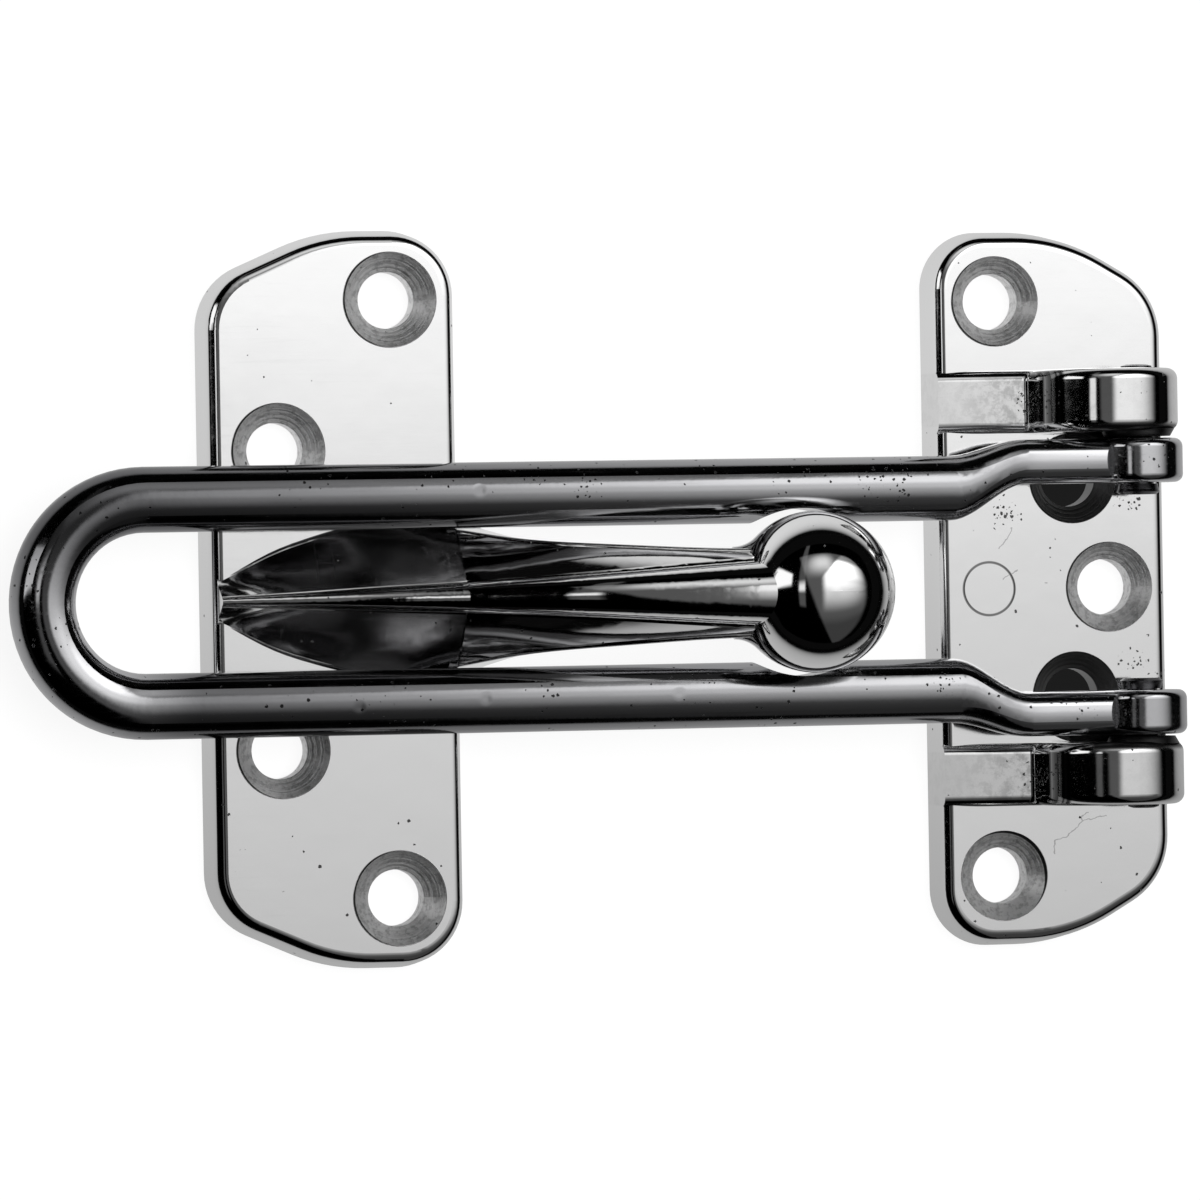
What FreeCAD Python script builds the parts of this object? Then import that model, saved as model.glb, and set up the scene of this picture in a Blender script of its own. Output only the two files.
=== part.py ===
"""Door restrictor: stud plate with ball arm, hinge plate, swing bar and two pivot pins.

Millimetres. +Z is away from the mounting surface, both plates have their backs on Z = 0,
X runs along the bar with the hinge at the +X end, Y runs along the plates' height.
The dimensions below are given from the hinge axis (X = 0) and the centre line (Y = 0).
"""
import FreeCAD, Part
import math
import os

# ---- driving dimensions ----
SHIFT_X = 51.75            # moves the whole part so that its box is centred on the origin

HINGE_Z = 8.6              # height of the pivot axis
PLATE_T = 4.0              # thickness of both plates
PLATE_DRAFT = 0.45         # the walls lean in by this much over the thickness
PLATE_EDGE_R = 1.2         # rounding of the top edges

HP_LEFT = -18.6            # hinge plate, edge towards the ball
HP_RIGHT = 4.4             # hinge plate, edge beyond the pivot
HP_TOP = 33.7              # half height at the flat crown
HP_PEAK_X = -5.6           # where the crown starts to fall
HP_SHOULDER_Y = 27.9       # half height at the right edge before rounding
HP_HOLE_ENDS = (-12.4, 27.07)
HP_HOLE_CENTRE = (-1.6, 0.0)
HP_HOLE_EARS = (-5.05, 10.3)
HP_CSK_D = 8.5

SP_LEFT = -88.5            # stud plate, edge under the closed end
SP_RIGHT = -64.3           # stud plate, edge towards the ball
SP_TOP = 34.3
SP_PEAK_X = -77.0
SP_SHOULDER_Y = 29.3
SP_HOLE_ENDS = (-70.8, 27.76)
SP_HOLE_SIDE = (-81.6, 13.86)
SP_CSK_D = 8.9
MARK_X = -13.4             # round mark that the mould's ejector pin left
MARK_R = 2.55
MARK_W = 0.13
MARK_DEPTH = 0.12
THROUGH_D = 5.3            # clearance hole for the 4.2 mm screw

EAR_IN = 14.6              # inner face of each ear
EAR_OUT = 20.5             # outer face of each ear
EAR_RIGHT = 4.27           # the ear stands this far past the pivot
EAR_TOP_Z = 13.0
EAR_HUMP_R = 8.0           # long round back of the ear
EAR_NOSE_R = 6.05          # tighter rounding beyond the pivot
EAR_HUMP_SET = 0.02        # the back is highest this far behind the nose's middle
EAR_RAMP_LOW_Z = 4.3       # ramp height at the plate's left edge
EAR_RAMP_HIGH_Z = 5.6      # ramp height at the foot of the hump
EAR_FOOT_R = 0.5           # hollow between the ramp and the hump
EAR_SOFT_R = 1.0            # rounding of its long edges
BOSS_R = 3.1               # raised ring round the pin between ear and eye
BOSS_L = 0.5

PIN_R = 1.5
PIN_CLEAR = 0.06           # running clearance in the eye, on the radius
PIN_HEAD_R = 2.05
PIN_HEAD_L = 1.0
PIN_HEAD_GAP = 0.12
PIN_TAIL = 0.35            # peened end standing out of the ear

LEG_Y = 9.48               # middle of each straight leg
LEG_W = 6.05
LEG_H = 6.1
LEG_Z = 8.75               # middle of the legs
LEG_CORNER_SET = 0.275     # the nearly round corners fall this short of half the leg's width
LEG_CROWN_EXTRA = 0.6      # the crown's radius is this much larger than the corners'
NARROW_CORNER_SET = 0.375  # the same beside the eyes
NARROW_CROWN_EXTRA = 1.7
LOOP_X = -95.4             # centre of the closed round end
EYE_IN = 9.75
EYE_OUT = 13.9
EYE_R = 4.25
EYE_H = 5.9                # leg height where it joins the eye
JOG_START = -18.5          # the legs step outward between these two
JOG_END = -11.5

BALL_X = -33.2
BALL_Z = 14.0
BALL_R = 7.5
RELIEF_GAP = 0.3           # air between the ball and its hollow in the legs

# the arm, one row per section:
# x, half width, edge z, underside z, ridge half width, ridge z
FAN = [
    (-87.55, 2.10, 3.95, 2.0, 0.34, 6.35),
    (-85.3, 3.20, 4.05, 2.0, 0.44, 6.58),
    (-82.4, 4.60, 4.15, 2.0, 0.54, 6.93),
    (-78.9, 5.80, 4.25, 2.0, 0.68, 7.42),
    (-75.4, 6.75, 4.40, 2.0, 0.86, 8.05),
    (-71.9, 7.40, 4.60, 2.0, 1.02, 8.95),
    (-65.3, 7.90, 4.95, 2.0, 1.30, 11.20),
]
ARM = [
    (-65.3, 6.42, 6.22, 0.4, 1.30, 11.20),
    (-61.1, 5.62, 8.10, 2.0, 1.52, 13.20),
    (-56.8, 5.07, 10.30, 4.5, 1.75, 15.25),
    (-52.3, 4.75, 12.10, 7.0, 2.02, 16.95),
    (-47.8, 4.47, 13.40, 8.6, 2.32, 18.05),
    (-43.3, 4.23, 14.40, 9.6, 2.62, 18.85),
    (-39.6, 4.12, 15.00, 10.2, 2.85, 19.40),
    (-34.0, 4.12, 15.70, 10.9, 3.05, 20.00),
]
FAN_SWELL = -0.09          # the fan's flutes are hollow, the arm's shoulders slightly full
ARM_SWELL = 0.05
WEB_Z = 5.2                # flat web in the corner between the fan's end and the arm
WEB_LOW_Z = 2.4
WEB = [(-66.0, 4.4), (-66.0, 7.75), (-65.0, 7.62), (-62.6, 6.35), (-60.4, 5.72), (-57.2, 5.0), (-57.2, 4.0)]
NECK_R = 4.30              # the flare that runs from the arm's sides into the ball
NECK_FLARE_R = 3.0


def vec(x, y, z):
    return FreeCAD.Vector(x, y, z)


def line(a, b):
    return Part.LineSegment(a, b).toShape()


def arc(a, m, b):
    return Part.Arc(a, m, b).toShape()


# ---- outlines made of straight lines and rounded corners ----
def corner(p, before, after, radius):
    """Tangent points and middle point of a rounded corner."""
    u = (before - p).normalize()
    v = (after - p).normalize()
    angle = u.getAngle(v)
    reach = radius / math.tan(angle / 2)
    bisector = (u + v).normalize()
    centre = p + bisector * (radius / math.sin(angle / 2))
    return p + u * reach, centre - bisector * radius, p + v * reach


def rounded_wire(points):
    """Closed wire from a list of (x, y, radius) at one height."""
    spots = [vec(x, y, 0) for x, y, r in points]
    n = len(spots)
    parts = []
    for i in range(n):
        parts.append(corner(spots[i], spots[i - 1], spots[(i + 1) % n], points[i][2]))
    edges = []
    for i in range(n):
        start, middle, end = parts[i]
        edges.append(arc(start, middle, end))
        edges.append(line(end, parts[(i + 1) % n][0]))
    return Part.Wire(edges)


def drafted_plate(points, height, draft, edge_r):
    """Plate with leaning walls and a rounded top edge."""
    low = rounded_wire(points)
    high = low.makeOffset2D(-draft)
    high.translate(vec(0, 0, height))
    solid = Part.makeLoft([low, high], True, True)
    top = [e for e in solid.Edges if e.BoundBox.ZMin > height - 1e-4]
    return solid.makeFillet(edge_r, top)


def countersunk(x, y, head_d, height):
    """Cutter for a countersunk screw hole."""
    depth = (head_d - THROUGH_D) / 2
    through = Part.makeCylinder(THROUGH_D / 2, height + 2, vec(x, y, -1))
    cone = Part.makeCone(THROUGH_D / 2, head_d / 2 + 0.25, depth + 0.25, vec(x, y, height - depth))
    return through.fuse(cone)


# ---- hinge plate ----
def hinge_outline():
    return [
        (HP_LEFT, -HP_TOP, 5.4),
        (HP_PEAK_X, -HP_TOP, 18.0),
        (HP_RIGHT, -HP_SHOULDER_Y, 7.5),
        (HP_RIGHT, HP_SHOULDER_Y, 7.5),
        (HP_PEAK_X, HP_TOP, 18.0),
        (HP_LEFT, HP_TOP, 5.4),
    ]


def ear_wire(y):
    """Side view of an ear: ramp from the left wall, hollow foot, long round hump, nose."""
    nose_x = EAR_RIGHT - EAR_NOSE_R
    hump_x = nose_x - EAR_HUMP_SET
    hump_z = EAR_TOP_Z - EAR_HUMP_R
    foot_z = EAR_RAMP_HIGH_Z + EAR_FOOT_R
    reach = EAR_HUMP_R + EAR_FOOT_R
    foot_x = hump_x - math.sqrt(reach ** 2 - (foot_z - hump_z) ** 2)
    share = EAR_HUMP_R / reach
    touch = vec(hump_x + (foot_x - hump_x) * share, y, hump_z + (foot_z - hump_z) * share)
    middle = (-math.pi / 2 + math.atan2(touch.z - foot_z, touch.x - foot_x)) / 2
    foot_mid = vec(foot_x + EAR_FOOT_R * math.cos(middle), y, foot_z + EAR_FOOT_R * math.sin(middle))
    lean = math.asin(EAR_HUMP_SET / (EAR_HUMP_R - EAR_NOSE_R))
    nose_z = hump_z + (EAR_HUMP_R - EAR_NOSE_R) * math.cos(lean)
    join = vec(hump_x + EAR_HUMP_R * math.sin(lean), y, hump_z + EAR_HUMP_R * math.cos(lean))
    bend = (lean + math.pi / 2) / 2
    nose_mid = vec(nose_x + EAR_NOSE_R * math.sin(bend), y, nose_z + EAR_NOSE_R * math.cos(bend))
    left_low = vec(HP_LEFT + 0.05, y, 0.5)
    left_high = vec(HP_LEFT + 0.45, y, EAR_RAMP_LOW_Z)
    ramp_end = vec(foot_x, y, EAR_RAMP_HIGH_Z)
    crown = vec(hump_x, y, EAR_TOP_Z)
    right = vec(EAR_RIGHT, y, nose_z)
    foot = vec(EAR_RIGHT - 0.1, y, 0.0)
    inner_foot = vec(-3.0, y, 0.0)
    edges = [
        line(left_low, left_high),
        line(left_high, ramp_end),
        arc(ramp_end, foot_mid, touch),
        arc(touch, crown, join),
        arc(join, nose_mid, right),
        line(right, foot),
        line(foot, inner_foot),
        line(inner_foot, left_low),
    ]
    return Part.Wire(edges)


def ear():
    """One ear on the +Y side, with softened edges and the ring round the pin."""
    solid = Part.Face(ear_wire(EAR_IN)).extrude(vec(0, EAR_OUT - EAR_IN, 0))
    soft = []
    for e in solid.Edges:
        box = e.BoundBox
        flat = box.YMax - box.YMin < 1e-6
        if flat and box.ZMax > EAR_RAMP_LOW_Z + 0.2 and box.ZMin > EAR_RAMP_LOW_Z - 0.2:
            soft.append(e)
    solid = solid.makeFillet(EAR_SOFT_R, soft)
    ring = Part.makeCone(BOSS_R, BOSS_R + 0.4, BOSS_L + 0.2, vec(0, EAR_IN - BOSS_L, HINGE_Z), vec(0, 1, 0))
    return solid.fuse(ring)


def hinge_plate():
    body = drafted_plate(hinge_outline(), PLATE_T, PLATE_DRAFT, PLATE_EDGE_R)
    upper = ear()
    lower = upper.mirror(vec(0, 0, 0), vec(0, 1, 0))
    body = body.fuse([upper, lower])
    x, y = HP_HOLE_ENDS
    cuts = [countersunk(x, y, HP_CSK_D, PLATE_T), countersunk(x, -y, HP_CSK_D, PLATE_T)]
    x, y = HP_HOLE_EARS
    cuts += [countersunk(x, y, HP_CSK_D, PLATE_T), countersunk(x, -y, HP_CSK_D, PLATE_T)]
    cuts.append(countersunk(HP_HOLE_CENTRE[0], 0, HP_CSK_D, PLATE_T))
    cuts.append(Part.makeCylinder(PIN_R, 60, vec(0, -30, HINGE_Z), vec(0, 1, 0)))
    ring = Part.makeCylinder(MARK_R, 1, vec(MARK_X, 0, PLATE_T - MARK_DEPTH))
    ring = ring.cut(Part.makeCylinder(MARK_R - MARK_W, 1, vec(MARK_X, 0, PLATE_T - MARK_DEPTH)))
    cuts.append(ring)
    return body.cut(cuts).removeSplitter()


# ---- pivot pin ----
def pivot_pin():
    """Pin on the +Y side, turned: flared head inside, shank, peened tail outside the ear."""
    head_in = EYE_IN - PIN_HEAD_GAP - PIN_HEAD_L
    head_out = EYE_IN - PIN_HEAD_GAP
    z = HINGE_Z
    points = [
        vec(0, head_in, z),
        vec(0, head_in, z + PIN_HEAD_R - 0.35),
        vec(0, head_in + 0.25, z + PIN_HEAD_R),
        vec(0, head_in + 0.5, z + PIN_HEAD_R - 0.1),
        vec(0, head_out, z + PIN_R + 0.35),
        vec(0, head_out, z + PIN_R),
        vec(0, EAR_OUT, z + PIN_R),
        vec(0, EAR_OUT + PIN_TAIL * 0.6, z + PIN_R - 0.05),
        vec(0, EAR_OUT + PIN_TAIL, z + PIN_R - 0.5),
        vec(0, EAR_OUT + PIN_TAIL, z),
    ]
    face = Part.Face(Part.makePolygon(points + [points[0]]))
    return face.revolve(vec(0, 0, z), vec(0, 1, 0), 360)


# ---- swing bar ----
def leg_section(x, y, width, height, corner_set, crown_extra):
    """Closed cross-section at one x: crowned top and bottom, round corners."""
    a = width / 2
    b = height / 2
    corner_r = min(a, b) - corner_set
    ky = a - corner_r
    crown_r = corner_r + crown_extra * ky / corner_set
    kz = b - crown_r + math.sqrt((crown_r - corner_r) ** 2 - ky ** 2)
    tip = math.atan2(kz - (b - crown_r), ky)
    touch_y = crown_r * math.cos(tip)
    touch_z = b - crown_r + crown_r * math.sin(tip)
    half = (tip + 0.0) / 2
    mid_y = ky + corner_r * math.cos(half)
    mid_z = kz + corner_r * math.sin(half)

    def at(dy, dz):
        return vec(x, y + dy, LEG_Z + dz)

    edges = [
        arc(at(-touch_y, touch_z), at(0, b), at(touch_y, touch_z)),
        arc(at(touch_y, touch_z), at(mid_y, mid_z), at(a, kz)),
        line(at(a, kz), at(a, -kz)),
        arc(at(a, -kz), at(mid_y, -mid_z), at(touch_y, -touch_z)),
        arc(at(touch_y, -touch_z), at(0, -b), at(-touch_y, -touch_z)),
        arc(at(-touch_y, -touch_z), at(-mid_y, -mid_z), at(-a, -kz)),
        line(at(-a, -kz), at(-a, kz)),
        arc(at(-a, kz), at(-mid_y, mid_z), at(-touch_y, touch_z)),
    ]
    return Part.Wire(edges)


def jog_section(s):
    """Section part-way through the outward step, s from 0 to 1."""
    ease = s * s * (3 - 2 * s)
    x = JOG_START + (JOG_END - JOG_START) * s
    y = LEG_Y + ((EYE_IN + EYE_OUT) / 2 - LEG_Y) * ease
    width = LEG_W + (EYE_OUT - EYE_IN - LEG_W) * ease
    height = LEG_H + (EYE_H - LEG_H) * ease
    corner_set = LEG_CORNER_SET + (NARROW_CORNER_SET - LEG_CORNER_SET) * ease
    crown_extra = LEG_CROWN_EXTRA + (NARROW_CROWN_EXTRA - LEG_CROWN_EXTRA) * ease
    return leg_section(x, y, width, height, corner_set, crown_extra)


def straight_section():
    return leg_section(LOOP_X, LEG_Y, LEG_W, LEG_H, LEG_CORNER_SET, LEG_CROWN_EXTRA)


def swing_leg():
    """One leg on the +Y side with its step and its barrel eye."""
    straight = Part.Face(straight_section())
    straight = straight.extrude(vec(JOG_START - LOOP_X, 0, 0))
    step = Part.makeLoft([jog_section(s / 8) for s in range(9)], True, False)
    thin = Part.Face(jog_section(1.0)).extrude(vec(-JOG_END - 1.5, 0, 0))
    barrel = Part.makeCylinder(EYE_R, EYE_OUT - EYE_IN, vec(0, EYE_IN, HINGE_Z), vec(0, 1, 0))
    rims = [e for e in barrel.Edges if e.BoundBox.YLength < 1e-6]
    barrel = barrel.makeFillet(0.8, rims)
    return straight.fuse([step, thin, barrel])


def swing_bar():
    upper = swing_leg()
    lower = upper.mirror(vec(0, 0, 0), vec(0, 1, 0))
    end_face = Part.Face(straight_section())
    end = end_face.revolve(vec(LOOP_X, 0, 0), vec(0, 0, 1), 180)
    bar = upper.fuse([lower, end])
    reach = math.hypot(BALL_X, BALL_Z - HINGE_Z)
    ring = Part.makeTorus(reach, BALL_R + RELIEF_GAP, vec(0, 0, HINGE_Z), vec(0, 1, 0))
    bore = Part.makeCylinder(PIN_R + PIN_CLEAR, 60, vec(0, -30, HINGE_Z), vec(0, 1, 0))
    notch = Part.Face(Part.makePolygon([
        vec(-4.1, -20, 11.85), vec(-3.0, -20, 10.9), vec(-2.0, -20, 12.6), vec(-4.1, -20, 12.6),
        vec(-4.1, -20, 11.85)])).extrude(vec(0, 40, 0))
    eye = Part.makeCylinder(EYE_R, 60, vec(0, -30, HINGE_Z), vec(0, 1, 0))
    return bar.cut([ring, bore, notch.cut(eye)]).removeSplitter()


# ---- stud plate with its arm and ball ----
def stud_outline():
    return [
        (SP_LEFT, -SP_SHOULDER_Y, 6.4),
        (SP_PEAK_X, -SP_TOP, 18.0),
        (SP_RIGHT, -SP_TOP, 6.2),
        (SP_RIGHT, SP_TOP, 6.2),
        (SP_PEAK_X, SP_TOP, 18.0),
        (SP_LEFT, SP_SHOULDER_Y, 6.4),
    ]


def arm_section(row, swell):
    """Flat underside, upright walls, sloping shoulders, a narrow flute and a round ridge."""
    x, wide, z1, z0, ridge, z2 = row
    r = 0.12 * min(wide, 3.0)
    flank = z2 - 0.8 * ridge
    valley_y = ridge * 1.12 + 0.12
    valley_z = z2 - 1.08 * ridge - 0.08
    dip_y = ridge + 0.25 * (valley_y - ridge)
    dip_z = valley_z + 0.22 * (flank - valley_z)
    swell_y = (valley_y + wide - r) / 2
    swell_z = (valley_z + z1) / 2 + swell * (wide - valley_y)

    def half(side):
        """Points of one half from the valley's inner end out to the foot of the wall."""
        return [
            vec(x, side * ridge, flank),
            vec(x, side * dip_y, dip_z),
            vec(x, side * valley_y, valley_z),
            vec(x, side * swell_y, swell_z),
            vec(x, side * (wide - r), z1),
            vec(x, side * (wide - 0.2 * r), z1 - 0.3 * r),
            vec(x, side * wide, z1 - r),
            vec(x, side * wide, z0),
        ]

    a = half(1)
    b = half(-1)
    edges = [
        line(b[7], a[7]),
        line(a[7], a[6]),
        arc(a[6], a[5], a[4]),
        arc(a[4], a[3], a[2]),
        arc(a[2], a[1], a[0]),
        arc(a[0], vec(x, 0, z2), b[0]),
        arc(b[0], b[1], b[2]),
        arc(b[2], b[3], b[4]),
        arc(b[4], b[5], b[6]),
        line(b[6], b[7]),
    ]
    return Part.Wire(edges)


def neck_flare():
    """Turned flare round the arm's line, from the neck out to the ball."""
    big = BALL_R + NECK_FLARE_R
    across = NECK_R + NECK_FLARE_R
    along = math.sqrt(big ** 2 - across ** 2)
    touch_a = along * BALL_R / big
    touch_r = across * BALL_R / big
    a0 = -math.pi / 2
    a1 = math.atan2(touch_r - across, along - touch_a)
    am = (a0 + a1) / 2
    points = [
        vec(0, 0, 0),
        vec(0, touch_r, 0),
        vec(-touch_a, touch_r, 0),
        vec(-along, NECK_R, 0),
        vec(-along, 0, 0),
    ]
    middle = vec(-along + NECK_FLARE_R * math.cos(am), across + NECK_FLARE_R * math.sin(am), 0)
    edges = [
        line(points[0], points[1]),
        line(points[1], points[2]),
        arc(points[2], middle, points[3]),
        line(points[3], points[4]),
        line(points[4], points[0]),
    ]
    solid = Part.Face(Part.Wire(edges)).revolve(vec(0, 0, 0), vec(1, 0, 0), 360)
    solid.rotate(vec(0, 0, 0), vec(0, 1, 0), -10.0)
    solid.translate(vec(BALL_X, 0, BALL_Z))
    return solid


def stud_plate():
    body = drafted_plate(stud_outline(), PLATE_T, PLATE_DRAFT, PLATE_EDGE_R)
    fan = Part.makeLoft([arm_section(row, FAN_SWELL) for row in FAN], True, False)
    arm = Part.makeLoft([arm_section(row, ARM_SWELL) for row in ARM], True, False)
    corners = [vec(x, y, WEB_LOW_Z) for x, y in WEB]
    web = Part.Face(Part.makePolygon(corners + [corners[0]])).extrude(vec(0, 0, WEB_Z - WEB_LOW_Z))
    webs = [web, web.mirror(vec(0, 0, 0), vec(0, 1, 0))]
    ball = Part.makeSphere(BALL_R, vec(BALL_X, 0, BALL_Z))
    keep = Part.makeBox(24, 30, 20, vec(-52, -15, -5.2))
    keep.rotate(vec(-39.6, 0, 14.3), vec(0, 1, 0), -10.0)
    flare = neck_flare().common(keep)
    body = body.fuse([fan, arm, ball, flare] + webs)
    x, y = SP_HOLE_ENDS
    cuts = [countersunk(x, y, SP_CSK_D, PLATE_T), countersunk(x, -y, SP_CSK_D, PLATE_T)]
    x, y = SP_HOLE_SIDE
    cuts += [countersunk(x, y, SP_CSK_D, PLATE_T), countersunk(x, -y, SP_CSK_D, PLATE_T)]
    return body.cut(cuts).removeSplitter()


def save(name, shape):
    shape.translate(vec(SHIFT_X, 0, 0))
    box = shape.BoundBox
    print(name, "valid", shape.isValid(), "solids", len(shape.Solids), "mm3", round(shape.Volume, 1),
          "box", [round(v, 2) for v in (box.XMin, box.XMax, box.YMin, box.YMax, box.ZMin, box.ZMax)])
    shape.exportStep("parts/" + name + ".step")


def main():
    os.makedirs("parts", exist_ok=True)
    save("hinge_plate", hinge_plate())
    save("stud_plate", stud_plate())
    save("swing_bar", swing_bar())
    upper = pivot_pin()
    lower = upper.mirror(vec(0, 0, 0), vec(0, 1, 0))
    save("upper_pivot_pin", upper)
    save("lower_pivot_pin", lower)


main()
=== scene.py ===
"""Looks of the door restrictor: bright plated castings on a plain white floor.

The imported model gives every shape. This file adds the finishes, the floor, the lights and the
camera. Places on the part are (x, y) in millimetres, with the hinge at +X.
"""
import math

import bpy
from bpy.props import FloatProperty, PointerProperty, StringProperty
from mathutils import Matrix, Vector

bl_info = {
    "name": "Door restrictor",
    "version": (1, 0, 0),
    "blender": (4, 5, 0),
    "location": "3D View > Sidebar > Restrictor",
    "description": "Dresses the door restrictor's castings and pins and sets up its stage",
    "category": "Object",
}

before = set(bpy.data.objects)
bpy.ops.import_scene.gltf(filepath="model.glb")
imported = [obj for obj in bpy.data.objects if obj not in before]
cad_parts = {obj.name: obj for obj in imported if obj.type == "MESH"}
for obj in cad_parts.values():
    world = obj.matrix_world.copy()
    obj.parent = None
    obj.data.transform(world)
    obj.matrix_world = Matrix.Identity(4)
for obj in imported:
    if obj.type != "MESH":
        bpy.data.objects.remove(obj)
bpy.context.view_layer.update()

MM = 0.001
WHITE = "#FFFFFF"

# Screw holes, with the radius of their countersinks. The lips are the same circles, shifted
# towards the dark side of each rim; they paint shade along that side of each rim.
STUD_HOLES = [(-19.05, 27.76), (-19.05, -27.76), (-29.85, 13.86), (-29.85, -13.86)]
STUD_SHADE_LIPS = [(x + 0.22, y) for x, y in STUD_HOLES]
STUD_BOWL_R = 4.42
HINGE_HOLES = [(39.35, 27.07), (39.35, -27.07), (46.7, 10.3), (46.7, -10.3), (50.15, 0.0)]
HINGE_SHADE_LIPS = [(39.57, 27.15), (39.16, -27.25), (46.92, 10.3), (46.92, -10.3), (50.37, 0.0)]
HINGE_BOWL_R = 4.22
HOLES_UNDER_EYES = HINGE_HOLES[2:4]

# Clusters of pores, and cracks in the plating as runs of points
HINGE_PORES = [
    (40.1, 6.9), (55.2, -9.4), (52.0, 8.4), (45.6, 14.8), (52.5, -7.1), (42.3, 17.6), (42.0, -17.9),
]
BAR_PORES = [
    (36.9, -9.1), (45.2, -11.2), (48.3, -11.4), (31.6, -8.7), (24.6, 10.4), (27.4, 10.3),
    (-2.6, 10.0),
]
HINGE_CRACKS = [
    [(44.3, -25.1), (44.4, -23.8), (45.5, -23.6), (46.3, -22.9), (47.1, -22.1), (48.2, -21.8),
     (49.5, -21.6)],
    [(47.1, -22.1), (47.0, -21.6), (47.7, -21.3)],
    [(40.7, 5.7), (40.2, 4.7), (39.4, 3.8)],
    [(39.7, 0.9), (40.3, 1.3), (41.1, 1.7)],
]
EJECTOR_MARK = (38.35, 0.0)
BAR_DENTS = [(-12.4, -9.3), (-24.3, -9.9), (-12.6, 9.8), (6.0, -9.2)]
DENT_R = 0.8
# Where the painted shade on the bar's legs gives way to the bar's own colour, at the loop
BAR_BRIGHT_END = (-52.0, -6.5)

# Distances along the bar and to the side of its middle line: the ribs' two sides, the recess
# between rib and ear, where the ears start, and the painted shade in the gap between ear and eye
RIB_SIDES = (15.2, 20.5)
RECESS = (42.3, 44.3)
EAR_START = 43.6
GAP_SHADE_START = 45.6
HINGE_GAP_SIDES = (13.5, 15.5)
PIN_GAP_SIDES = (13.0, 16.0)

# Patterns of the plated surface: size in millimetres, detail and roughness of the noise. Real
# wiping lines are finer, and are drawn as coarse as they need to show.
PATTERNS = {
    "polishing waves": (7.0, 2.0, 0.5),
    "plating peel": (0.7, 2.0, 0.5),
    "wiping lines": (0.4, 3.0, 0.6),
    "handling haze": (12.0, 4.0, 0.6),
    "where specks are": (5.0, 2.0, 0.5),
    "ragged pore rims": (0.16, 2.0, 0.5),
    "crack wander": (0.6, 2.0, 0.5),
    "turned rings": (0.22, 3.0, 0.7),
    "turned grain": (0.7, 4.0, 0.7),
    "recess streaks": (0.3, 3.0, 0.5),
    "rib mottle": (1.1, 5.0, 0.7),
}
# Pores: spacing in millimetres, and the largest radius as a share of it
SCATTERED_PORES = (0.5, 0.34)
CROWDED_PORES = (0.30, 0.55)

# Heights of the relief in millimetres
WAVE_HEIGHT = 0.022
PEEL_HEIGHT = 0.26
WIPE_HEIGHT = 0.0005
PORE_DEPTH = 0.03
DENT_DEPTH = 0.04
RING_HEIGHT = 0.05

# How far each mark turns the plating to the dark of bare metal and dirt, from 0 to 1. The lips,
# the holes under the eyes and the gap between ear and eye are painted shade in the same dark.
MARK_DARK = "#0C0C0C"
PORE_DARK = 0.85
GRAIN_DARK = 0.34
LIP_SHADE_DARK = 0.95
SHADE_DARK = 0.8
CRACK_DARK = 0.42
EJECTOR_DARK = 0.75
GAP_SHADE_DARK = 0.93

# What marks add to the roughness
PORE_HAZE = 0.35
BOWL_HAZE = 0.36
GAP_HAZE = 0.3

# The floor: radii of the dark patches below the eyes in millimetres, and levels seen by the camera
FLOOR_DROP = 0.02
PATCH_EDGE = (4.2, 4.4)
PATCH_LEVEL = 0.012
FLOOR_LEVEL = 1.06
FLOOR_GLOW_SHARE = 0.85
DARK_ROOM = 0.003

# Even light from overhead
SUN_STRENGTH = 3.3
SUN_SPREAD = math.radians(50)
SUN_TURN = (math.radians(-8), math.radians(10), 0)

# The point that the camera looks at, in metres
AIM = (0.00004, -0.00042, 0.006)

# The lamp cloth hangs flat above the part. The slopes towards it start from this point of the part.
PANEL_Z = 0.35
PANEL_CORNERS = ((-1.6, -1.6), (1.2, 1.0))
PANEL_FOOT = (0.0185, 0.0, 0.01)
# Soft borders on the cloth. A row is: share of the slope towards +X, share of the slope towards
# +Y, start, end, level before, level after.
CLOTH_OUTLINE = [
    (1, 0.36, -0.42, -0.30, 0, 1), (1, 1.34, 2.9, 3.15, 1, 0), (0.1, 1, 1.36, 1.5, 1, 0),
]
MAIN_LEVELS = [
    [(0, 1, -0.62, 0.12, 0, 0.62)],
    [(0, 1, -0.03, 0.21, 0, 0.38)],
    [(0, 1, 0.25, 0.5, 0, 0.7), (1, 0, 0.04, 0.30, 0, 1)],
]
MAIN_OUTLINE = [
    (0, 1, 0.85, 1.1, 1, 0.13), (1, 0, -0.12, 0.06, 0, 1), (1, -0.9, -0.5, -0.34, 0, 1),
    (1, 0, 0.35, 2.1, 1, 0),
]
FAR_FOLD = [
    (0, 1, 0.3, 0.85, 0, 0.6), (0, 1, 0.9, 1.5, 1, 0), (1, 0, -0.7, -0.05, 0, 1),
    (1, 0, 0.05, 0.5, 1, 0),
]
DIM_REST = [(0, 1, -1.2, -0.5, 0.04, 0.08), (1, 0, 1.6, 2.4, 1, 0)]
WINDOW = [(1, 0, -4.2, -3.6, 0, 1), (1, 0, -1.18, -1.04, 1, 0), (0, 1, 0.14, 0.36, 0, 1)]
STRIP = [
    (1, 0, -0.80, -0.70, 0, 1), (1, 0, -0.57, -0.50, 1, 0), (0, 1, -0.50, -0.35, 0, 1),
    (0, 1, -0.05, 0.10, 0.07, 0.8), (0, 1, 0.14, 0.40, 1, 0.08),
]


def linear(hex_colour):
    """sRGB hex to linear RGBA."""
    out = []
    for i in (1, 3, 5):
        c = int(hex_colour[i:i + 2], 16) / 255
        out.append(c / 12.92 if c <= 0.04045 else ((c + 0.055) / 1.055) ** 2.4)
    return (*out, 1.0)


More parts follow.
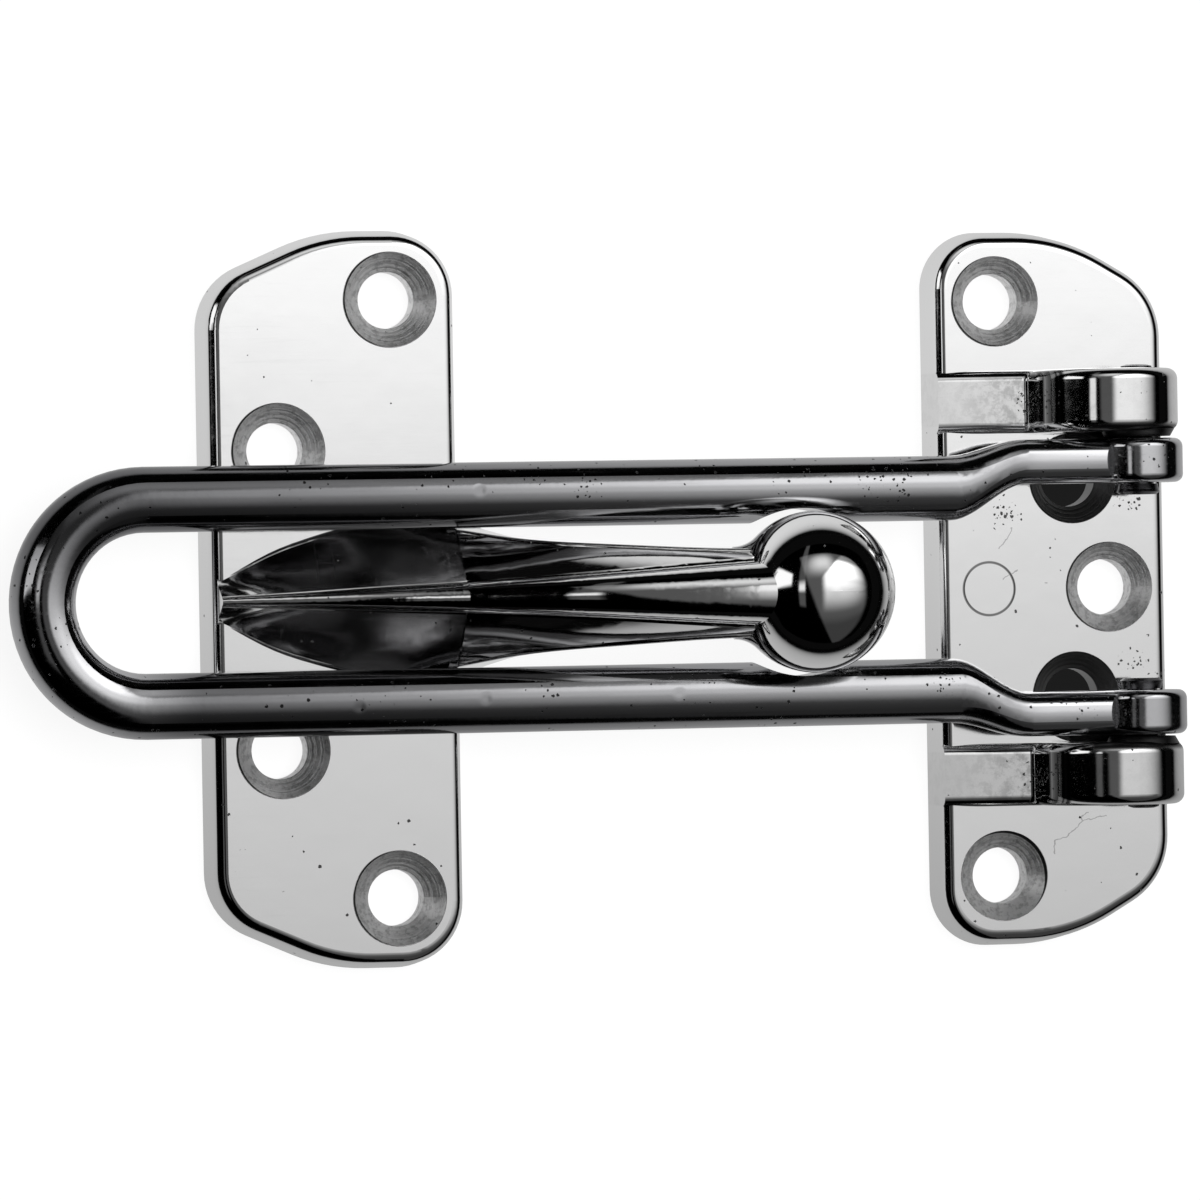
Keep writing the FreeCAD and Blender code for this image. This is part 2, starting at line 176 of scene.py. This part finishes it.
def add_node(tree, kind, settings=None, inputs=None):
    """Adds a node and gives back its outputs. An input is a value, or an output to link to it."""
    node = tree.nodes.new(kind)
    for key, value in (settings or {}).items():
        setattr(node, key, value)
    for key, value in (inputs or {}).items():
        if isinstance(value, bpy.types.NodeSocket):
            tree.links.new(value, node.inputs[key])
        else:
            node.inputs[key].default_value = value
    return node.outputs


def joined(tree, operation, *levels):
    """Levels joined in turn by one operation, such as adding them or taking the largest."""
    result = levels[0]
    for level in levels[1:]:
        result = add_node(
            tree, "ShaderNodeMath", {"operation": operation}, {0: result, 1: level})["Value"]
    return result


def steps(tree, *limits, unit=1.0):
    """Product of smooth steps, which shows how far a spot is inside some limits.

    A limit is: a level, where its step starts and ends, and the value before and after it.
    """
    return joined(tree, "MULTIPLY", *(
        add_node(
            tree, "ShaderNodeMapRange", {"interpolation_type": "SMOOTHSTEP"},
            {"Value": level, "From Min": start * unit, "From Max": end * unit,
             "To Min": before, "To Max": after})["Result"]
        for level, start, end, before, after in limits))


def new_material(name):
    """An empty node material, made anew on each run."""
    material = bpy.data.materials.get(name) or bpy.data.materials.new(name)
    material.use_nodes = True
    material.node_tree.nodes.clear()
    return material, material.node_tree


def pattern(tree, name, place):
    """One of PATTERNS at its real size: in space for a position, in one line for a distance."""
    size, detail, roughness = PATTERNS[name]
    in_space = place.type == "VECTOR"
    return add_node(
        tree, "ShaderNodeTexNoise", {"noise_dimensions": "3D" if in_space else "1D"},
        {"Scale": 1 / (size * MM), "Detail": detail, "Roughness": roughness,
         "Vector" if in_space else "W": place})


def spot_field(tree, place, spots):
    """Distance in metres to the nearest of some spots, seen from above."""
    flat = add_node(
        tree, "ShaderNodeVectorMath", {"operation": "MULTIPLY"},
        {0: place, 1: (1.0, 1.0, 0.0)})["Vector"]
    return joined(tree, "MINIMUM", *(
        add_node(
            tree, "ShaderNodeVectorMath", {"operation": "DISTANCE"},
            {0: flat, 1: (x * MM, y * MM, 0.0)})["Value"]
        for x, y in spots))


def crack_field(tree, place, runs):
    """Distance in metres to some runs of points, which wander a little off their straight lines."""
    wander = 0.5 * MM
    noise = pattern(tree, "crack wander", place)["Color"]
    moved = add_node(
        tree, "ShaderNodeVectorMath", {"operation": "MULTIPLY_ADD"},
        {0: noise, 1: (wander, wander, 0.0), 2: place})["Vector"]
    flat = add_node(
        tree, "ShaderNodeVectorMath", {"operation": "MULTIPLY"},
        {0: moved, 1: (1.0, 1.0, 0.0)})["Vector"]
    gaps = []
    for run in runs:
        for (x0, y0), (x1, y1) in zip(run, run[1:]):
            step = Vector((x1 - x0, y1 - y0, 0.0)) * MM
            first = (x0 * MM + wander / 2, y0 * MM + wander / 2, 0.0)
            off = add_node(
                tree, "ShaderNodeVectorMath", {"operation": "SUBTRACT"},
                {0: flat, 1: first})["Vector"]
            share = add_node(
                tree, "ShaderNodeVectorMath", {"operation": "DOT_PRODUCT"},
                {0: off, 1: tuple(step / step.length_squared)})["Value"]
            share = add_node(tree, "ShaderNodeClamp", None, {"Value": share})["Result"]
            reached = add_node(
                tree, "ShaderNodeVectorMath", {"operation": "SCALE"},
                {0: tuple(step), "Scale": share})["Vector"]
            gaps.append(add_node(
                tree, "ShaderNodeVectorMath", {"operation": "DISTANCE"},
                {0: off, 1: reached})["Value"])
    return joined(tree, "MINIMUM", *gaps)


def pores(tree, place, grid, density):
    """Mask of pores with ragged rims. The grid is spacing and size, density their share of cells."""
    spacing, size = grid
    rims = add_node(
        tree, "ShaderNodeVectorMath", {"operation": "SCALE"},
        {0: pattern(tree, "ragged pore rims", place)["Color"], "Scale": 0.22 * MM})["Vector"]
    moved = add_node(
        tree, "ShaderNodeVectorMath", {"operation": "ADD"}, {0: place, 1: rims})["Vector"]
    cells = add_node(
        tree, "ShaderNodeTexVoronoi", {"feature": "F1"},
        {"Scale": 1 / (spacing * MM), "Randomness": 1.0, "Vector": moved})
    lot = add_node(tree, "ShaderNodeSeparateColor", None, {"Color": cells["Color"]})
    drawn = joined(tree, "LESS_THAN", lot["Red"], density)
    radius = joined(tree, "MULTIPLY", drawn, size, lot["Green"])
    return steps(
        tree, (joined(tree, "SUBTRACT", cells["Distance"], radius), -0.04, 0.0, 1.0, 0.0))


class Skin:
    """A plated surface in the making.

    Of the masks in dark the strongest shows. haze adds up to the roughness, and height to the
    relief in metres.
    """

    def __init__(self, name):
        self.material, self.tree = new_material(name)
        self.place = add_node(self.tree, "ShaderNodeTexCoord")["Object"]
        self.dark, self.haze, self.height = [], [], []

    def axes(self):
        """Distance along the bar, and distance to the side of its middle line."""
        part = add_node(self.tree, "ShaderNodeSeparateXYZ", None, {"Vector": self.place})
        aside = add_node(
            self.tree, "ShaderNodeMath", {"operation": "ABSOLUTE"}, {0: part["Y"]})["Value"]
        return part["X"], aside


def plated_skin(name, roughness, specks, clusters=(), crowding=0.85):
    """Chrome plating over a casting or a turned pin: one mirror-like skin.

    Pores of the casting show as dark specks, thick in a few clusters. A slow waviness comes from
    the polishing wheel, a fine unevenness from the plating, faint lengthwise lines from wiping.
    """
    skin = Skin(name)
    tree, place = skin.tree, skin.place
    rarity = pattern(tree, "where specks are", place)["Fac"]
    pit = pores(tree, place, SCATTERED_PORES, steps(tree, (rarity, 0.40, 0.75, 0.0, specks)))
    if clusters:
        near = spot_field(tree, place, clusters)
        density = steps(tree, (near, 0.4, 2.0, crowding, 0.0), unit=MM)
        pit = joined(tree, "MAXIMUM", pit, pores(tree, place, CROWDED_PORES, density))
    stretched = add_node(
        tree, "ShaderNodeMapping", None, {"Scale": (0.05, 1.0, 1.0), "Vector": place})["Vector"]
    wipe = pattern(tree, "wiping lines", stretched)["Fac"]
    wave = pattern(tree, "polishing waves", place)["Fac"]
    peel = pattern(tree, "plating peel", place)["Fac"]
    cloud = pattern(tree, "handling haze", place)["Fac"]
    skin.dark.append(joined(tree, "MULTIPLY", pit, PORE_DARK))
    skin.haze += [
        steps(tree, (cloud, 0.35, 0.7, roughness * 0.7, roughness * 1.4)),
        steps(tree, (wipe, 0.5, 0.8, 0.0, roughness * 0.9)),
        joined(tree, "MULTIPLY", pit, PORE_HAZE),
    ]
    skin.height += [
        joined(tree, "MULTIPLY", wave, WAVE_HEIGHT * MM),
        joined(tree, "MULTIPLY", peel, roughness ** 2 * PEEL_HEIGHT * MM),
        joined(tree, "MULTIPLY", pit, -PORE_DEPTH * MM),
        joined(tree, "MULTIPLY", wipe, WIPE_HEIGHT * MM),
    ]
    return skin


def countersinks(skin, holes, lips, radius):
    """Countersinks as turned: duller than the face and grainy, with rings and a painted-shade lip.
    """
    tree = skin.tree
    near = spot_field(tree, skin.place, holes)
    bowl = steps(tree, (near, radius, radius + 0.05, 1.0, 0.0), unit=MM)
    rings = pattern(tree, "turned rings", near)["Fac"]
    grain = pattern(tree, "turned grain", skin.place)["Fac"]
    grain = steps(tree, (grain, 0.44, 0.66, 0.0, GRAIN_DARK))
    # the lip is painted shade: a thin dark crescent on one side of each rim
    shifted = spot_field(tree, skin.place, lips)
    lip = steps(
        tree, (shifted, radius - 0.02, radius + 0.03, 0.0, LIP_SHADE_DARK),
        (near, radius - 0.01, radius + 0.04, 1.0, 0.0), unit=MM)
    skin.haze.append(joined(tree, "MULTIPLY", bowl, BOWL_HAZE))
    skin.height.append(joined(tree, "MULTIPLY", rings, bowl, RING_HEIGHT * MM))
    skin.dark += [joined(tree, "MULTIPLY", grain, bowl), lip]


def shaded_holes(skin, holes, radius):
    """Painted shade in the countersinks under the bar's eyes, where no cloth reaches."""
    near = spot_field(skin.tree, skin.place, holes)
    skin.dark.append(steps(skin.tree, (near, radius, radius + 0.05, SHADE_DARK, 0.0), unit=MM))


def cracks(skin, runs):
    """Hairline cracks in the plating."""
    near = crack_field(skin.tree, skin.place, runs)
    skin.dark.append(steps(skin.tree, (near, 0.02, 0.08, CRACK_DARK, 0.0), unit=MM))


def ribs(skin):
    """The polishing wheel hardly reaches the ribs, which are mottled.

    The recess between rib and ear is darkened and streaked as painted shade.
    """
    tree = skin.tree
    along, aside = skin.axes()
    inner, outer = RIB_SIDES
    start, end = RECESS
    soft = 0.3
    rib = steps(
        tree, (aside, inner, inner + soft, 0.0, 1.0), (aside, outer - soft, outer, 1.0, 0.0),
        unit=MM)
    # painted shade in the recess between rib and ear, broken by streaks
    recess = steps(
        tree, (along, start, start + soft, 0.0, 1.0), (along, end - soft, end, 1.0, 0.0), unit=MM)
    streaks = steps(tree, (pattern(tree, "recess streaks", along)["Fac"], 0.35, 0.65, 0.94, 0.7))
    towards_ear = steps(
        tree, (along, 33.5, 42.4, 0.08, 0.5), (along, EAR_START, EAR_START + 1, 1.0, 0.15),
        unit=MM)
    mottle = steps(
        tree, (pattern(tree, "rib mottle", skin.place)["Fac"], 0.42, 0.62, 0.35, 1.0))
    skin.dark += [
        joined(tree, "MULTIPLY", rib, recess, streaks),
        joined(tree, "MULTIPLY", rib, mottle, towards_ear),
    ]


def gap_shade(skin, sides):
    """Painted shade in the gap between eye and ear, between two distances to the side; it is rougher
    too.
    """
    tree = skin.tree
    along, aside = skin.axes()
    inner, outer = sides
    # painted shade in the gap between eye and ear, which also gets rougher
    gap = steps(
        tree, (along, GAP_SHADE_START, GAP_SHADE_START + 0.6, 0.0, 1.0),
        (aside, inner, inner + 0.2, 0.0, 1.0), (aside, outer - 0.5, outer, 1.0, 0.0), unit=MM)
    skin.dark.append(joined(tree, "MULTIPLY", gap, GAP_SHADE_DARK))
    skin.haze.append(joined(tree, "MULTIPLY", gap, GAP_HAZE))


def ejector_ring(skin, centre):
    """The thin ring that a moulding ejector left, 2.5 mm in radius."""
    near = spot_field(skin.tree, skin.place, [centre])
    skin.dark.append(steps(
        skin.tree, (near, 2.33, 2.42, 0.0, EJECTOR_DARK), (near, 2.56, 2.65, 1.0, 0.0), unit=MM))


def dents(skin, spots):
    """Small round dents from knocks."""
    near = spot_field(skin.tree, skin.place, spots)
    skin.height.append(steps(skin.tree, (near, 0.0, DENT_R * MM, -DENT_DEPTH * MM, 0.0)))


def painted_leg_shade(skin, shaded_leg_colour, colour):
    """The bar's colour with painted shade: darker legs over the stud plate, brighter at its two
    ends.
    """
    tree = skin.tree
    along, _ = skin.axes()
    near = spot_field(tree, skin.place, [BAR_BRIGHT_END])
    # painted shade: the darker leg colour over the stud plate, the bar's own colour at its two ends
    bright = joined(
        tree, "MAXIMUM",
        steps(tree, (along, -45, 32, 0.0, 0.56), unit=MM),
        steps(tree, (along, 35, 42, 0.0, 1.0), unit=MM),
        steps(tree, (near, 4, 14, 1.0, 0.0), unit=MM))
    return add_node(
        tree, "ShaderNodeMix", {"data_type": "RGBA"},
        {"Factor": bright, "A": linear(shaded_leg_colour), "B": linear(colour)})["Result"]


def finish_skin(skin, colour):
    """Joins what the skin holds into one metal of a colour, given as a value or an output."""
    tree = skin.tree
    tone = add_node(
        tree, "ShaderNodeMix", {"data_type": "RGBA"},
        {"Factor": joined(tree, "MAXIMUM", *skin.dark), "A": colour, "B": linear(MARK_DARK)})
    bump = add_node(
        tree, "ShaderNodeBump", None,
        {"Strength": 1.0, "Distance": 1.0, "Height": joined(tree, "ADD", *skin.height)})
    metal = add_node(
        tree, "ShaderNodeBsdfPrincipled", None,
        {"Metallic": 1.0, "Base Color": tone["Result"], "Roughness": joined(tree, "ADD", *skin.haze),
         "Normal": bump["Normal"]})
    add_node(tree, "ShaderNodeOutputMaterial", None, {"Surface": metal["BSDF"]})
    return skin.material


def dress(node_name, material):
    """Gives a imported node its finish."""
    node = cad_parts[node_name]
    node.data.materials.clear()
    node.data.materials.append(material)


class RestrictorFinish(bpy.types.PropertyGroup):
    """Finishes of the plated parts."""

    plate_colour: StringProperty(
        name="Plate colour", description="sRGB hex of the two plates' chrome", default="#FCFCFC")
    bar_colour: StringProperty(
        name="Bar colour", description="sRGB hex of the swing bar's chrome", default="#D2D2D4")
    # the legs' colour over the stud plate is painted shade
    bar_leg_shade_colour: StringProperty(
        name="Bar leg colour", description="sRGB hex of the duller legs over the stud plate",
        default="#7A7A7C")
    pin_colour: StringProperty(
        name="Pin colour", description="sRGB hex of the pins' plating", default="#5A5A5C")
    plate_roughness: FloatProperty(
        name="Plate roughness", description="Haze of the polished plates", default=0.07,
        min=0.0, max=1.0)
    pin_roughness: FloatProperty(
        name="Pin roughness", description="Haze of the turned pins", default=0.28,
        min=0.0, max=1.0)
    bar_roughness: FloatProperty(
        name="Bar roughness", description="Haze of the bar, which is handled more", default=0.12,
        min=0.0, max=1.0)


class RestrictorStage(bpy.types.PropertyGroup):
    """Camera and floor."""

    view_distance: FloatProperty(
        name="View distance", description="From the camera to the part's middle", default=0.85,
        unit="LENGTH")
    view_tilt: FloatProperty(
        name="View tilt", description="Lean of the view towards the closed end",
        default=math.radians(14.0), unit="ROTATION")
    view_roll: FloatProperty(
        name="View roll", description="Turn of the picture, clockwise for the camera",
        default=math.radians(1.0), unit="ROTATION")
    frame_width: FloatProperty(
        name="Frame width", description="Width of the view at the part", default=0.1116,
        unit="LENGTH")
    floor_size: FloatProperty(
        name="Floor size", description="Side of the floor", default=12.0, unit="LENGTH")


class RESTRICTOR_OT_stud_plate(bpy.types.Operator):
    """Finish the stud plate with its fluted arm and ball"""

    bl_idname = "restrictor.stud_plate"
    bl_label = "Stud plate"

    def execute(self, context):
        look = context.scene.restrictor_finish
        skin = plated_skin(
            "chrome plating, polished zinc stud casting", look.plate_roughness, specks=0.08)
        countersinks(skin, STUD_HOLES, STUD_SHADE_LIPS, STUD_BOWL_R)
        dress("stud_plate", finish_skin(skin, linear(look.plate_colour)))
        return {"FINISHED"}


class RESTRICTOR_OT_hinge_plate(bpy.types.Operator):
    """Finish the hinge plate with its ears"""

    bl_idname = "restrictor.hinge_plate"
    bl_label = "Hinge plate"

    def execute(self, context):
        look = context.scene.restrictor_finish
        skin = plated_skin(
            "chrome plating, polished zinc hinge casting", look.plate_roughness, specks=0.12,
            clusters=HINGE_PORES)
        countersinks(skin, HINGE_HOLES, HINGE_SHADE_LIPS, HINGE_BOWL_R)
        shaded_holes(skin, HOLES_UNDER_EYES, HINGE_BOWL_R)
        cracks(skin, HINGE_CRACKS)
        ribs(skin)
        # painted shade in the gap between eye and ear
        gap_shade(skin, HINGE_GAP_SIDES)
        ejector_ring(skin, EJECTOR_MARK)
        dress("hinge_plate", finish_skin(skin, linear(look.plate_colour)))
        return {"FINISHED"}


class RESTRICTOR_OT_swing_bar(bpy.types.Operator):
    """Finish the swing bar"""

    bl_idname = "restrictor.swing_bar"
    bl_label = "Swing bar"

    def execute(self, context):
        look = context.scene.restrictor_finish
        skin = plated_skin(
            "chrome plating, tumbled zinc bar casting", look.bar_roughness, specks=0.6,
            clusters=BAR_PORES, crowding=0.5)
        dents(skin, BAR_DENTS)
        # painted shade darkens the legs over the stud plate
        colour = painted_leg_shade(skin, look.bar_leg_shade_colour, look.bar_colour)
        dress("swing_bar", finish_skin(skin, colour))
        return {"FINISHED"}


class RESTRICTOR_OT_pivot_pins(bpy.types.Operator):
    """Finish the two pivot pins"""

    bl_idname = "restrictor.pivot_pins"
    bl_label = "Pivot pins"

    def execute(self, context):
        look = context.scene.restrictor_finish
        skin = plated_skin("bright plating, turned steel pin", look.pin_roughness, specks=0.02)
        # painted shade where the pins sit in the gap between eye and ear
        gap_shade(skin, PIN_GAP_SIDES)
        steel = finish_skin(skin, linear(look.pin_colour))
        dress("upper_pivot_pin", steel)
        dress("lower_pivot_pin", steel)
        return {"FINISHED"}


def floor_material():
    """White painted board. The camera sees it white; the metal sees it lit from the +Y side.

    Below the two holes under the bar's eyes it is nearly black, in the shade of eye and ear.
    """
    material, tree = new_material("matt white painted board")
    place = add_node(tree, "ShaderNodeNewGeometry")["Position"]
    reach = add_node(tree, "ShaderNodeVectorMath", {"operation": "LENGTH"}, {0: place})["Value"]
    side = add_node(tree, "ShaderNodeSeparateXYZ", None, {"Vector": place})["Y"]
    under = spot_field(tree, place, HOLES_UNDER_EYES)
    ray = add_node(tree, "ShaderNodeLightPath")
    in_metal = joined(tree, "MAXIMUM", ray["Is Glossy Ray"], ray["Is Transmission Ray"])
    to_camera = steps(tree, (under, *PATCH_EDGE, PATCH_LEVEL, FLOOR_LEVEL), unit=MM)
    to_metal = steps(tree, (reach, 0.015, 0.17, 0.66, 0.002), (side, -0.04, 0.04, 0.66, 1.06))
    level = add_node(
        tree, "ShaderNodeMix", {"data_type": "FLOAT"},
        {"Factor": in_metal, "A": to_camera, "B": to_metal})["Result"]
    # the rest of what the camera sees is the board's own shading, which carries the shadow
    glow_share = steps(tree, (under, *PATCH_EDGE, 1.0, FLOOR_GLOW_SHARE), unit=MM)
    share = joined(
        tree, "MAXIMUM", joined(tree, "MULTIPLY", ray["Is Camera Ray"], glow_share), in_metal)
    board = add_node(
        tree, "ShaderNodeBsdfDiffuse", None, {"Color": linear("#F2F2F2"), "Roughness": 0.5})
    glow = add_node(
        tree, "ShaderNodeEmission", None, {"Color": linear(WHITE), "Strength": level})
    both = add_node(
        tree, "ShaderNodeMixShader", None, {0: share, 1: board["BSDF"], 2: glow["Emission"]})
    add_node(tree, "ShaderNodeOutputMaterial", None, {"Surface": both["Shader"]})
    return material


def panel_material():
    """White diffuser cloth lit from behind, with a window and a lit strip at its left end."""
    material, tree = new_material("white diffuser cloth")
    place = add_node(tree, "ShaderNodeNewGeometry")["Position"]
    foot_x, foot_y, foot_z = PANEL_FOOT
    from_foot = add_node(
        tree, "ShaderNodeVectorMath", {"operation": "SUBTRACT"},
        {0: place, 1: (foot_x, foot_y, 0.0)})["Vector"]
    slopes = add_node(
        tree, "ShaderNodeVectorMath", {"operation": "SCALE"},
        {0: from_foot, "Scale": 1 / (PANEL_Z - foot_z)})["Vector"]

    def lit(rows):
        """Level of one patch of light from its borders."""
        return steps(tree, *(
            (add_node(
                tree, "ShaderNodeVectorMath", {"operation": "DOT_PRODUCT"},
                {0: slopes, 1: (to_x, to_y, 0.0)})["Value"], *border)
            for to_x, to_y, *border in rows))

    main = joined(
        tree, "MULTIPLY", joined(tree, "ADD", *map(lit, MAIN_LEVELS)), lit(MAIN_OUTLINE))
    light = joined(
        tree, "ADD", joined(tree, "MAXIMUM", main, lit(FAR_FOLD)), lit(DIM_REST))
    light = joined(tree, "MULTIPLY", light, lit(CLOTH_OUTLINE))

    # the window's far side runs straight away from the foot
    slope = add_node(tree, "ShaderNodeSeparateXYZ", None, {"Vector": slopes})
    back = joined(tree, "MAXIMUM", joined(tree, "MULTIPLY", slope["X"], -1.0), 0.1)
    bearing = joined(tree, "DIVIDE", slope["Y"], back)
    window = joined(
        tree, "MULTIPLY", lit(WINDOW), steps(tree, (bearing, 0.55, 0.66, 1.0, 0.0)))
    light = joined(tree, "ADD", light, window, lit(STRIP))
    glow = add_node(
        tree, "ShaderNodeEmission", None, {"Color": linear(WHITE), "Strength": light})
    add_node(tree, "ShaderNodeOutputMaterial", None, {"Surface": glow["Emission"]})
    return material


def studio_world():
    """White to the camera, a nearly dark room to the metal."""
    world = bpy.data.worlds.get("studio") or bpy.data.worlds.new("studio")
    bpy.context.scene.world = world
    world.use_nodes = True
    tree = world.node_tree
    tree.nodes.clear()
    ray = add_node(tree, "ShaderNodeLightPath")
    level = add_node(
        tree, "ShaderNodeMix", {"data_type": "FLOAT"},
        {"Factor": ray["Is Camera Ray"], "A": DARK_ROOM, "B": 1.0})["Result"]
    shine = add_node(
        tree, "ShaderNodeBackground", None, {"Color": linear(WHITE), "Strength": level})
    add_node(tree, "ShaderNodeOutputWorld", None, {"Surface": shine["Background"]})


def flat_sheet(context, name, low, high, z, material):
    """Square sheet at one height that belongs to the stage."""
    mesh = bpy.data.meshes.new(name)
    mesh.from_pydata(
        [(low[0], low[1], 0), (high[0], low[1], 0), (high[0], high[1], 0), (low[0], high[1], 0)],
        [], [(0, 1, 2, 3)])
    sheet = bpy.data.objects.new(name, mesh)
    sheet.location.z = z
    context.collection.objects.link(sheet)
    sheet.data.materials.append(material)
    return sheet


class RESTRICTOR_OT_stage(bpy.types.Operator):
    """Make the floor, the lights and the camera"""

    bl_idname = "restrictor.stage"
    bl_label = "Stage"

    def execute(self, context):
        stage = context.scene.restrictor_stage
        half = stage.floor_size / 2
        flat_sheet(
            context, "floor", (-half, -half), (half, half), -FLOOR_DROP * MM, floor_material())
        panel = flat_sheet(context, "panel", *PANEL_CORNERS, PANEL_Z, panel_material())
        panel.visible_camera = False
        panel.visible_diffuse = False
        panel.visible_transmission = False
        panel.visible_shadow = False
        studio_world()
        self.soft_sun(context)
        self.camera(context, stage)
        return {"FINISHED"}

    def soft_sun(self, context):
        """Even light for the floor; metal doesn't show it."""
        lamp = bpy.data.lights.new("overhead_fill", "SUN")
        lamp.energy = SUN_STRENGTH
        lamp.angle = SUN_SPREAD
        fill = bpy.data.objects.new("overhead_fill", lamp)
        fill.rotation_euler = SUN_TURN
        fill.visible_glossy = False
        context.collection.objects.link(fill)

    def camera(self, context, stage):
        """Looks down on the part, leaning towards its closed end, as in the photograph."""
        data = bpy.data.cameras.new("camera")
        data.sensor_width = 36.0
        data.lens = data.sensor_width * stage.view_distance / stage.frame_width
        data.clip_start = 0.05
        data.clip_end = 50.0
        eye = bpy.data.objects.new("camera", data)
        across_part = Vector((0.0, 1.0, 0.0))
        back = Vector((-math.sin(stage.view_tilt), 0.0, math.cos(stage.view_tilt)))
        turn = Matrix.Rotation(-stage.view_roll, 3, back)
        place = Matrix((turn @ across_part.cross(back), turn @ across_part, back))
        place = place.transposed().to_4x4()
        place.translation = Vector(AIM) + back * stage.view_distance
        eye.matrix_world = place
        context.collection.objects.link(eye)
        context.scene.camera = eye


PIECES = (
    RESTRICTOR_OT_stud_plate,
    RESTRICTOR_OT_hinge_plate,
    RESTRICTOR_OT_swing_bar,
    RESTRICTOR_OT_pivot_pins,
    RESTRICTOR_OT_stage,
)


class RESTRICTOR_PT_sidebar(bpy.types.Panel):
    """Sizes, colours and steps of the door restrictor"""

    bl_label = "Door restrictor"
    bl_idname = "RESTRICTOR_PT_sidebar"
    bl_space_type = "VIEW_3D"
    bl_region_type = "UI"
    bl_category = "Restrictor"

    def draw(self, context):
        for group in (context.scene.restrictor_finish, context.scene.restrictor_stage):
            for name in group.__annotations__:
                self.layout.prop(group, name)
        for piece in PIECES:
            self.layout.operator(piece.bl_idname)


CLASSES = (RestrictorFinish, RestrictorStage, *PIECES, RESTRICTOR_PT_sidebar)


def register():
    for cls in CLASSES:
        bpy.utils.register_class(cls)
    bpy.types.Scene.restrictor_finish = PointerProperty(type=RestrictorFinish)
    bpy.types.Scene.restrictor_stage = PointerProperty(type=RestrictorStage)


def unregister():
    del bpy.types.Scene.restrictor_stage
    del bpy.types.Scene.restrictor_finish
    for cls in reversed(CLASSES):
        bpy.utils.unregister_class(cls)


def main():
    register()
    bpy.context.scene.view_settings.view_transform = "Standard"
    bpy.ops.restrictor.stud_plate()
    bpy.ops.restrictor.hinge_plate()
    bpy.ops.restrictor.swing_bar()
    bpy.ops.restrictor.pivot_pins()
    bpy.ops.restrictor.stage()
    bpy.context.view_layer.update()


if __name__ == "__main__":
    main()
